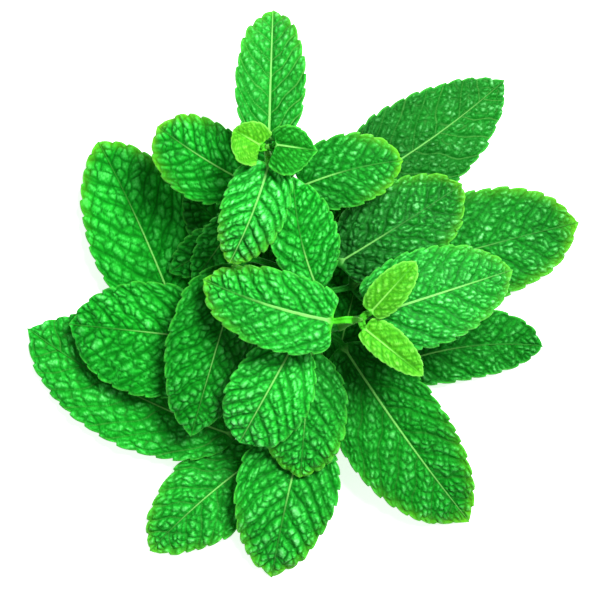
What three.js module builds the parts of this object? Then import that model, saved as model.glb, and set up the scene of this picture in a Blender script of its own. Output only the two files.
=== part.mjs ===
// A cut sprig of mint lying on a flat surface. Millimetres, +Z up, origin under the middle of the
// sprig at the surface. One square main stem lies at its cut end, climbs northwards and ends in a
// growing tip. Three side shoots leave it: the east shoot also turns up to a growing tip, and the
// west and south shoots stay low. Every leaf is one body, a short stalk and a blade, and stands
// just off the stem that carries it.
import * as THREE from 'three';

// Driving dimensions
const stemHalf = 1.4; // half the side of the square main stem where it was cut
const stemTipHalf = 0.6; // the same at a growing tip
const shootHalf = 1.1; // half the side of a side shoot where it starts
const stemChamfer = 0.55; // flat part of each stem side, as a share of its width
const stemSteps = 3; // rings from one stem joint to the next
const stalkHalf = 0.8; // half the width of a leaf stalk
const stalkHeight = 1.4; // height of a leaf stalk
const bladeHeight = 0.9; // thickness of a blade on its midrib
const sideHeight = 0.75; // thickness half way to the margin, as a share of bladeHeight
const stalkGap = 1.1; // from the stem's corner to the middle of the stalk's first ring
const axilLift = 0.4; // how far a stalk leans along the stem where it leaves it
const lobePeak = 0.06; // share of the blade's length where its base lobes reach furthest back

const stalkStations = [0, 0.35, 0.7];
const bladeStations = [0.015, 0.06, 0.14, 0.26, 0.4, 0.55, 0.69, 0.81, 0.91, 0.975];
const up = new THREE.Vector3(0, 0, 1);
const centring = new THREE.Vector3(0.2, 1.2, 0); // brings the middle of the sprig's outline to the origin

// Stems: the joints where leaves and shoots leave, from the cut or lower end upwards
const stems = {
  main: {
    name: 'stem_main', half: stemHalf, colour: 0x6f9a3c,
    joints: [[11.5, -40, 1.4], [7.5, -27, 3], [2.5, -12, 8], [0.5, -2.5, 11.2], [-1.5, 6.5, 14.2],
      [-2.3, 14, 17], [-3.2, 20.5, 20.5], [-7, 28.5, 28.5], [-9.2, 36, 39.5], [-9.4, 37.8, 43.6]],
  },
  east: {
    name: 'shoot_east', half: shootHalf, colour: 0x7cac45,
    joints: [[4.6, -11.1, 10.4], [5.6, -10.4, 13], [7.5, -9.5, 18], [10, -9, 25], [13.5, -7.3, 33],
      [15, -7.2, 37.6]],
  },
  west: {
    name: 'shoot_west', half: shootHalf, colour: 0x7cac45,
    joints: [[-1, -12.3, 8.1], [-10, -13.5, 8.3], [-28, -10, 6.5], [-32, -11, 6.2]],
  },
  south: {
    name: 'shoot_south', half: shootHalf, colour: 0x7cac45,
    joints: [[4.6, -29.4, 3.5], [-5.5, -37, 4.2], [-9, -38.5, 4.2]],
  },
};

// Leaves: the stem and joint that carry each, where its blade starts and ends, and its width.
// arch lifts the middle of the midrib and sweep bends it to the right of its heading, both in
// millimetres. skew widens the right half and narrows the left. fold tilts both halves up from
// the midrib and roll turns the whole blade, lifting its left side, both in degrees. curl drops
// the margins. rise and taper shape the outline at the base and the tip, and lobe is how far the
// two base lobes reach back past the end of the stalk.
const usual = { sweep: 0, skew: 0, fold: 8, roll: 0, curl: 1.5, rise: 0.5, taper: 0.6, lobe: 0 };
const mature = { colour: 0x2f9a3a, roughness: 0.42 };
const young = { colour: 0x86cc35, roughness: 0.38 };
const leaves = [
  // lowest layer, which the sprig rests on
  { name: 'leaf_west_low', on: 'south', joint: 1, base: [-18, -38.5, 5.5], tip: [-74.5, -9.5, 0.1],
    width: 32.4, arch: 2.5, sweep: -2.6, skew: 0.12, fold: 5, curl: 1.2, taper: 0.65, rise: 0.55 },
  { name: 'leaf_upper_left', on: 'west', joint: 2, base: [-35.5, -2, 6], tip: [-55.5, 41, 0.1],
    width: 31, arch: 3, sweep: 0.9, skew: 0.02, rise: 0.34, taper: 0.6 },
  { name: 'leaf_south_west', on: 'south', joint: 1, base: [-11, -43.5, 3.2], tip: [-41.5, -70, 0.2],
    width: 24, arch: 2, sweep: 1.2, fold: 6, curl: 1, taper: 0.7, skew: -0.03 },
  { name: 'leaf_south', on: 'south', joint: 1, base: [0, -38, 9], tip: [-8.5, -77, 0.1],
    width: 28, arch: 4.5, sweep: 0.5, skew: 0.05, roll: -5, curl: 1, rise: 0.37, taper: 0.66 },
  { name: 'leaf_east_low', on: 'main', joint: 1, base: [19.5, -21.5, 4.5], tip: [65, -14.5, 0.2],
    width: 20, arch: 2.5, sweep: -3.2, curl: 1.2, skew: -0.09, taper: 0.55 },
  { name: 'leaf_east', on: 'main', joint: 3, base: [12.5, 1.5, 9], tip: [74.5, 19, 0.1],
    width: 30.3, arch: 4, sweep: -0.7, fold: 6, curl: 2, taper: 0.48, skew: -0.03 },
  { name: 'leaf_upper_right', on: 'main', joint: 6, base: [12.5, 27.5, 14], tip: [54.5, 57.5, 0.1],
    width: 27.8, arch: 3, sweep: 1.5, rise: 0.37, taper: 0.68, skew: 0 },
  { name: 'leaf_south_east', on: 'east', joint: 1, base: [10.5, -14, 12], tip: [45, -62, 0.1],
    width: 29.5, arch: 5, sweep: 0.8, skew: 0.12, fold: 12, curl: 2 },
  // under leaves in the middle
  { name: 'leaf_under_north', on: 'main', joint: 3, base: [-6, 4.5, 9.5], tip: [-32, 27, 7.4],
    width: 19, arch: 1.5, fold: 6, curl: 1 },
  { name: 'leaf_under_east', on: 'main', joint: 1, base: [8.5, -20.5, 2.7], tip: [17, 13, 2.2],
    width: 27, arch: 0.8, fold: 2, curl: 0.4 },
  { name: 'leaf_under_mid', on: 'main', joint: 4, base: [3.5, 13, 12.5], tip: [14.5, 27, 10.2],
    width: 12, arch: 1, fold: 6, curl: 1 },
  { name: 'leaf_under_top', on: 'main', joint: 6, base: [-5, 29, 19.5], tip: [-11.5, 43.5, 14.5],
    width: 13.5, arch: 1, fold: 6, curl: 1 },
  { name: 'leaf_left_under', on: 'main', joint: 5, base: [-17.5, 15.5, 14], tip: [-36, 5.5, 8.8],
    width: 12.5, arch: 2, curl: 1, taper: 0.7 },
  { name: 'leaf_left_mid', on: 'main', joint: 6, base: [-16, 21, 19.5], tip: [-29.5, 2.5, 12],
    width: 12, arch: 2, curl: 1, taper: 0.7 },
  // middle layer
  { name: 'leaf_west', on: 'west', joint: 1, base: [-21, -13, 11.5], tip: [-63, -8.5, 6],
    width: 31, arch: 3, sweep: 0.2, skew: -0.12, fold: 5, curl: 1.2 },
  { name: 'leaf_left_inner', on: 'main', joint: 4, base: [-16.5, 7, 21], tip: [-30, -38.5, 15],
    width: 26.5, arch: 3, fold: -10, roll: -20, rise: 0.42 },
  { name: 'leaf_right_inner', on: 'main', joint: 4, base: [9.5, 8, 15.5], tip: [42.5, 29, 14.5],
    width: 26, arch: 3, sweep: 0.3, skew: 0.06, roll: -5, curl: 2, taper: 0.55, rise: 0.38 },
  { name: 'leaf_low_inner', on: 'east', joint: 2, base: [2, -15.5, 17], tip: [-0.8, -49.5, 12],
    width: 22.5, arch: 4, curl: 2, taper: 0.5 },
  { name: 'leaf_mid_left', on: 'east', joint: 3, base: [-1.5, -12, 23], tip: [-17, -40, 17],
    width: 22.5, arch: 5, skew: -0.07, curl: 2, taper: 0.42 },
  { name: 'leaf_mid_up', on: 'east', joint: 2, base: [4, 0.5, 20.5], tip: [-2.5, 30.5, 31],
    width: 18, arch: 2.5, sweep: -1.6, skew: 0.12, fold: 6, curl: 1.2 },
  // top layer round the north tip
  { name: 'leaf_a_left', on: 'main', joint: 7, base: [-14, 28.5, 29], tip: [-38.7, 44.2, 20],
    width: 21.5, arch: 3, sweep: -0.8, skew: -0.05, taper: 0.52 },
  { name: 'leaf_a_right', on: 'main', joint: 7, base: [-0.5, 28, 26.5], tip: [26.5, 35, 20.5],
    width: 19.5, arch: 3.5, sweep: -1, curl: 2, rise: 0.36, taper: 0.48, lobe: 1.6 },
  { name: 'leaf_a_top', on: 'main', joint: 8, base: [-9, 39.5, 40], tip: [-8, 74.5, 27],
    width: 19.6, arch: 4, fold: 20, curl: 1, rise: 0.38, taper: 0.54, lobe: 1.2 },
  { name: 'leaf_a_front', on: 'main', joint: 8, base: [-9, 33.5, 41.5], tip: [-19.5, 7.5, 34],
    width: 17.6, arch: 4, sweep: -0.9, fold: 12, taper: 0.55, rise: 0.36, lobe: 1.8 },
  { name: 'leaf_a_small_left', on: 'main', joint: 9, base: [-11.2, 38.2, 45.6], tip: [-18.2, 42.2, 46.6],
    width: 12, arch: 1.5, fold: 10, curl: 0.4, look: young, rise: 0.3, taper: 0.7, skew: -0.13, lobe: 2 },
  { name: 'leaf_a_small_right', on: 'main', joint: 9, base: [-7.1, 38.3, 46.2], tip: [3.9, 36.7, 45.2],
    width: 13.6, arch: 1.2, fold: 10, curl: 0.4, taper: 0.7, look: young, rise: 0.34, skew: 0.16, lobe: 1.8 },
  // top layer round the east tip
  { name: 'leaf_b_left', on: 'east', joint: 4, base: [7.6, -7.5, 33.2], tip: [-26.5, 3.5, 28],
    width: 21.5, arch: 4, sweep: -1.2, skew: -0.06, rise: 0.33, taper: 0.52, lobe: 2.3 },
  { name: 'leaf_b_right', on: 'east', joint: 4, base: [18, -6, 34], tip: [55.5, 6, 22],
    width: 26, arch: 5, curl: 2, rise: 0.36, taper: 0.58, lobe: 3 },
  { name: 'leaf_b_small_up', on: 'east', joint: 5, base: [17.6, -5.2, 39.4], tip: [29.5, 8, 42],
    width: 9.8, arch: 1.5, fold: 10, curl: 0.5, look: young, rise: 0.38, lobe: 0.8 },
  { name: 'leaf_b_small_down', on: 'east', joint: 5, base: [15.9, -9.4, 38.2], tip: [31.5, -22, 35.5],
    width: 9.6, arch: 2, skew: -0.16, fold: 10, curl: 0.5, taper: 0.65, look: young, rise: 0.36, lobe: 0.9 },
];

const point = (xyz) => new THREE.Vector3(...xyz);

// The side and upward directions across a path: side is level, then both turn by roll degrees.
function crossFrame(tangent, roll = 0) {
  const level = new THREE.Vector3().crossVectors(tangent, up).normalize();
  const above = new THREE.Vector3().crossVectors(level, tangent);
  const angle = THREE.MathUtils.degToRad(roll);
  const side = level.clone().multiplyScalar(Math.cos(angle)).addScaledVector(above, -Math.sin(angle));
  const normal = above.clone().multiplyScalar(Math.cos(angle)).addScaledVector(level, Math.sin(angle));
  return { side, normal };
}

// A closed body from rings of the same number of points, with an end point past each end ring.
function loft(rings, firstPoint, lastPoint) {
  const count = rings[0].length;
  const positions = [...rings.flat(), firstPoint, lastPoint].flatMap((p) => [p.x, p.y, p.z]);
  const first = rings.length * count;
  const last = first + 1;
  const lastRing = (rings.length - 1) * count;
  const triangles = [];
  for (let j = 0; j < count; j += 1) {
    const next = (j + 1) % count;
    triangles.push(first, next, j);
    for (let i = 0; i < rings.length - 1; i += 1) {
      const low = i * count;
      const high = low + count;
      triangles.push(low + j, low + next, high + next, low + j, high + next, high + j);
    }
    triangles.push(last, lastRing + j, lastRing + next);
  }
  const geometry = new THREE.BufferGeometry();
  geometry.setAttribute('position', new THREE.Float32BufferAttribute(positions, 3));
  geometry.setIndex(triangles);
  geometry.computeVertexNormals();
  return geometry;
}

// Half the side of a stem at a share s of its joints: it keeps its width and thins near the tip.
const halfAt = (stem, s) => stemTipHalf + (stem.half - stemTipHalf) * (1 - s * s);

const stemCurve = (stem) => new THREE.CatmullRomCurve3(stem.joints.map(point), false, 'catmullrom');

// A stem: a square with cut corners along a smooth curve through its joints.
function stemGeometry(stem) {
  const curve = stemCurve(stem);
  const steps = (stem.joints.length - 1) * stemSteps;
  const rings = [];
  for (let i = 0; i <= steps; i += 1) {
    const s = i / steps;
    const middle = curve.getPoint(s);
    const { side, normal } = crossFrame(curve.getTangent(s));
    const half = halfAt(stem, s);
    const flat = half * stemChamfer;
    const corners = [[-half, -flat], [-half, flat], [-flat, half], [flat, half],
      [half, flat], [half, -flat], [flat, -half], [-flat, -half]];
    rings.push(corners.map(([a, b]) => middle.clone().addScaledVector(side, a).addScaledVector(normal, b)));
  }
  return loft(rings, curve.getPoint(0), curve.getPoint(1));
}

// Width of the outline at a share t of the blade, 1 at its widest.
function outline(leaf, t) {
  const widest = leaf.rise / (leaf.rise + leaf.taper);
  return (t / widest) ** leaf.rise * ((1 - t) / (1 - widest)) ** leaf.taper;
}

// The midrib: an arched and swept curve from the end of the stalk to the tip.
function midrib(leaf) {
  const base = point(leaf.base);
  const tip = point(leaf.tip);
  const right = new THREE.Vector3(tip.y - base.y, base.x - tip.x, 0).normalize();
  const control = base.clone().add(tip).multiplyScalar(0.5);
  control.addScaledVector(up, 2 * leaf.arch).addScaledVector(right, 2 * leaf.sweep);
  return new THREE.QuadraticBezierCurve3(base, control, tip);
}

// The stalk: it leaves the stem square to it, leaning forward, and meets the midrib smoothly.
function stalk(leaf, rib) {
  const stem = stems[leaf.on];
  const curve = stemCurve(stem);
  const s = leaf.joint / (stem.joints.length - 1);
  const root = point(stem.joints[leaf.joint]);
  const along = curve.getTangent(s);
  const reach = point(leaf.base).sub(root);
  const away = reach.addScaledVector(along, -reach.dot(along)).normalize();
  const start = root.addScaledVector(away, halfAt(stem, s) * 1.3 + stalkGap).addScaledVector(along, axilLift);
  const end = rib.getPoint(0);
  const third = start.distanceTo(end) / 3;
  const leave = away.clone().addScaledVector(along, axilLift).normalize();
  const arrive = rib.getTangent(0);
  return new THREE.CubicBezierCurve3(start, start.clone().addScaledVector(leave, third),
    end.clone().addScaledVector(arrive, -third), end);
}

// Places on the ring, from the left margin over the top to the right margin and back below.
const ringShares = [-1, -0.5, 0, 0.5, 1, 0.5, 0, -0.5];
const ringSides = [0, 1, 1, 1, 0, -1, -1, -1];

function leafGeometry(leaf) {
  const rib = midrib(leaf);
  const path = stalk(leaf, rib);
  const fold = THREE.MathUtils.degToRad(leaf.fold);
  const rings = stalkStations.map((s) => {
    const middle = path.getPoint(s);
    const { side, normal } = crossFrame(path.getTangent(s), leaf.roll * s);
    return ringShares.map((share, k) => {
      const round = Math.sqrt(Math.max(0, 1 - share * share * 0.98));
      return middle.clone().addScaledVector(side, stalkHalf * share)
        .addScaledVector(normal, ringSides[k] * round * stalkHeight / 2);
    });
  });
  for (const t of bladeStations) {
    const middle = rib.getPoint(t);
    const tangent = rib.getTangent(t);
    const { side, normal } = crossFrame(tangent, leaf.roll);
    const shape = outline(leaf, t);
    const stalkShare = Math.max(0, 1 - 4 * t);
    const height = bladeHeight + (stalkHeight - bladeHeight) * stalkShare;
    const back = leaf.lobe * (t / lobePeak) * Math.exp(1 - t / lobePeak);
    rings.push(ringShares.map((share, k) => {
      const half = leaf.width / 2 * shape * (share > 0 ? 1 + leaf.skew : 1 - leaf.skew);
      const across = Math.max(half, stalkHalf * stalkShare) * share;
      const lift = Math.abs(across) * Math.sin(fold) - leaf.curl * share * share * shape;
      const thick = ringSides[k] * (share === 0 ? 1 : sideHeight) * height / 2;
      return middle.clone().addScaledVector(side, across * Math.cos(fold))
        .addScaledVector(normal, lift + thick).addScaledVector(tangent, -back * Math.abs(share));
    }));
  }
  return loft(rings, path.getPoint(0), rib.getPoint(1));
}

const sprig = new THREE.Group();
sprig.position.copy(centring);

for (const stem of Object.values(stems)) {
  const bark = new THREE.MeshStandardMaterial({ color: stem.colour, roughness: 0.5, metalness: 0 });
  const mesh = new THREE.Mesh(stemGeometry(stem), bark);
  mesh.name = stem.name;
  sprig.add(mesh);
}

for (const entry of leaves) {
  const leaf = { ...usual, look: mature, ...entry };
  const { colour, roughness } = leaf.look;
  const skin = new THREE.MeshStandardMaterial({ color: colour, roughness, metalness: 0 });
  const mesh = new THREE.Mesh(leafGeometry(leaf), skin);
  mesh.name = leaf.name;
  sprig.add(mesh);
}

export default sprig;
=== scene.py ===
import bpy
import numpy as np
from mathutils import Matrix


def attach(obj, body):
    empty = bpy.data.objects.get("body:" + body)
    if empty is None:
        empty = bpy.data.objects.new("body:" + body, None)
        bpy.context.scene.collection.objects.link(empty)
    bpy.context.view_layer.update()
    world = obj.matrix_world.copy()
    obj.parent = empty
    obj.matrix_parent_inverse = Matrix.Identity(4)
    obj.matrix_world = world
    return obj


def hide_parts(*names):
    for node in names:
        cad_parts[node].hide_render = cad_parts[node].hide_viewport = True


# A cut sprig of mint lying on a table. Shapes are worked out in millimetres, +Z up, and put into
# the meshes in metres.
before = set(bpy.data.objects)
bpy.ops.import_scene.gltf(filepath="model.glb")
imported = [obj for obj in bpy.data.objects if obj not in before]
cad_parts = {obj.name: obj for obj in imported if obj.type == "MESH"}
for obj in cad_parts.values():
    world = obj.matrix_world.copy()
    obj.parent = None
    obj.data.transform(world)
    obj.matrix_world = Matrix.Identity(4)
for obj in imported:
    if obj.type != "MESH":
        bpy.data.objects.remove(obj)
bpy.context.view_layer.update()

millimetre = 0.001
centring = np.array([0.2, 1.2, 0.0])  # the same shift as in the solid model
upward = np.array([0.0, 0.0, 1.0])
tableEase = 0.4   # the height under which a surface is eased towards the table
farOff = 9.0      # where a search for the nearest distance starts
fullTurn = 6.28   # in radians, for the phases of waves
nudge = 1e-4      # the share of a stem over which its direction is measured
cellGrid = (61, 67)        # how many cells a pattern has before it repeats
cellJitter = (0.12, 0.88)  # where in its own square a cell's centre may lie

stems = {
    "stem_main": dict(
        half=1.4, joints=[[11.5, -40, 1.4], [7.5, -27, 3], [2.5, -12, 8], [0.5, -2.5, 11.2],
                          [-1.5, 6.5, 14.2], [-2.3, 14, 17], [-3.2, 20.5, 20.5], [-7, 28.5, 28.5],
                          [-9.2, 36, 39.5], [-9.4, 37.8, 43.6]]),
    "shoot_east": dict(
        half=1.1, joints=[[4.6, -11.1, 10.4], [5.6, -10.4, 13], [7.5, -9.5, 18], [10, -9, 25],
                          [13.5, -7.3, 33], [15, -7.2, 37.6]]),
    "shoot_west": dict(
        half=1.1, joints=[[-1, -12.3, 8.1], [-10, -13.5, 8.3], [-28, -10, 6.5], [-32, -11, 6.2]]),
    "shoot_south": dict(
        half=1.1, joints=[[4.6, -29.4, 3.5], [-5.5, -37, 4.2], [-9, -38.5, 4.2]]),
}

# What every stem shares. The cut and the tip close over rings that shrink and step along the stem.
stemUsual = dict(
    tipHalf=0.6, squareness=4.5, swell=0.22, swellReach=1.3, hollow=0.07,
    stepsPerJoint=40, around=48, paleReach=1.6, patternTurn=10,
    cutShrink=[0.2, 0.5, 0.8, 0.94], cutSunk=[0.22, 0.12, 0.0, -0.02], cutMiddle=0.25,
    tipShrink=[0.95, 0.8, 0.5, 0.2], tipRise=[0.25, 0.6, 0.9, 1.1], tipMiddle=1.15)

# What a leaf has unless its own entry below says otherwise. Millimetres and degrees.
leafUsual = dict(
    # the smooth form, as in the solid model
    sweep=0, skew=0, fold=8, roll=0, curl=1.5, rise=0.5, taper=0.6, lobe=0,
    # side veins on each side of the midrib, how steeply they leave it and how they bend
    veins=6, slant=0.8, bend=0.034,
    # heights of the pillows between side veins, of cells and of fine pebbles, and how strong all are
    quilt=0.46, cell=0.8, pebble=0.1, crinkle=1.0, cellSize=2.15, pebbleSize=0.95,
    # the margin: teeth, how it is drawn in to a point, and gentle waves
    toothPitch=4.6, toothDepth=0.85, toothLean=0.4, point=0.035, wave=0.55, waveLength=17.0,
    thickness=0.34, ribDepth=0.95,
    # brightness, which is the leaf's own tone together with painted light and shade; painted glints and how
    # white its reflections are; how golden, pale-veined, pale-edged and young it looks; and how far its
    # stalk is lifted out of painted shade
    toneAndPaintedLight=1.0, paintedGlintAndShine=0.4, gold=0.0, paleVeins=0.0, edgePale=0.6, youth=0.0, stalkOutOfShade=0.0,
    # how far the pale midrib runs and how wide it is, how dark the foot is, from its own darker green and
    # painted shade from the leaves above, and how far that reaches
    ribReach=0.6, ribWide=1.0, footDarkAndPaintedShade=0.35, footReach=0.55)

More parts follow.
